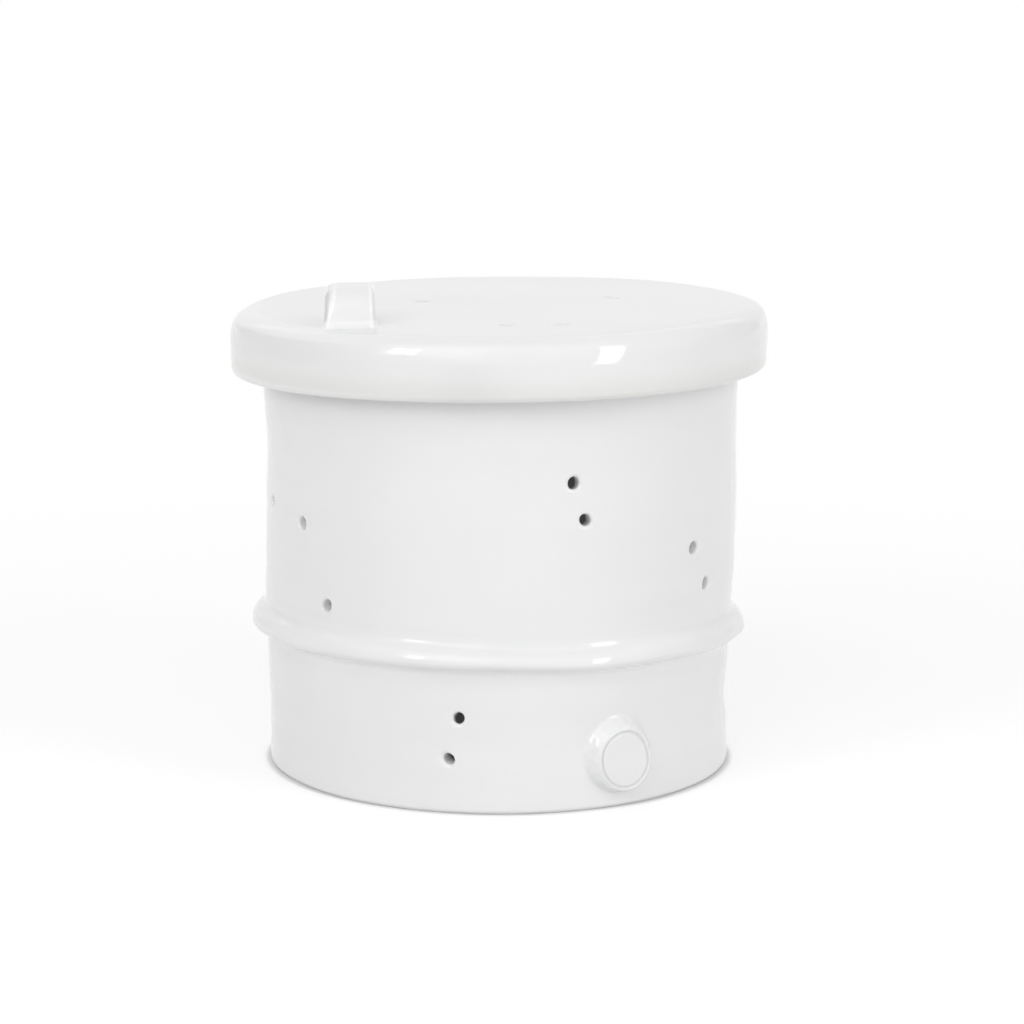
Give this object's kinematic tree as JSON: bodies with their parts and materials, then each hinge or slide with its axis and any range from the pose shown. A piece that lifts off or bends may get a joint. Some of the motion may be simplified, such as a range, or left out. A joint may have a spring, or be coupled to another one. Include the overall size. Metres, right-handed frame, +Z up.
{
  "type": "garlic keeper",
  "caption": "Stoneware garlic keeper: a straight-sided round pot with a raised band and small air vents, under an overhanging cap lid with vents and a low strap handle.",
  "frame": {"origin": "middle of the foot ring's flat face, on the surface that the pot stands on", "axes": "+Z up along the pot's axis, -Y towards the front, where the medallion is a little to the right, +X to the right"},
  "size_m": [0.15, 0.15, 0.1393],
  "materials": {
    "white_glaze": "glossy white glaze on stoneware, bare on the foot ring"
  },
  "bodies": {
    "pot": {"pot": "white_glaze", "band": "white_glaze", "medallion": "white_glaze"},
    "lid": {"lid": "white_glaze", "handle": "white_glaze"}
  },
  "joints": [
    {"name": "lid_lift", "type": "slide", "parent": "pot", "child": "lid", "axis": [0, 0, 1], "range_m": [0, 0.08]}
  ]
}
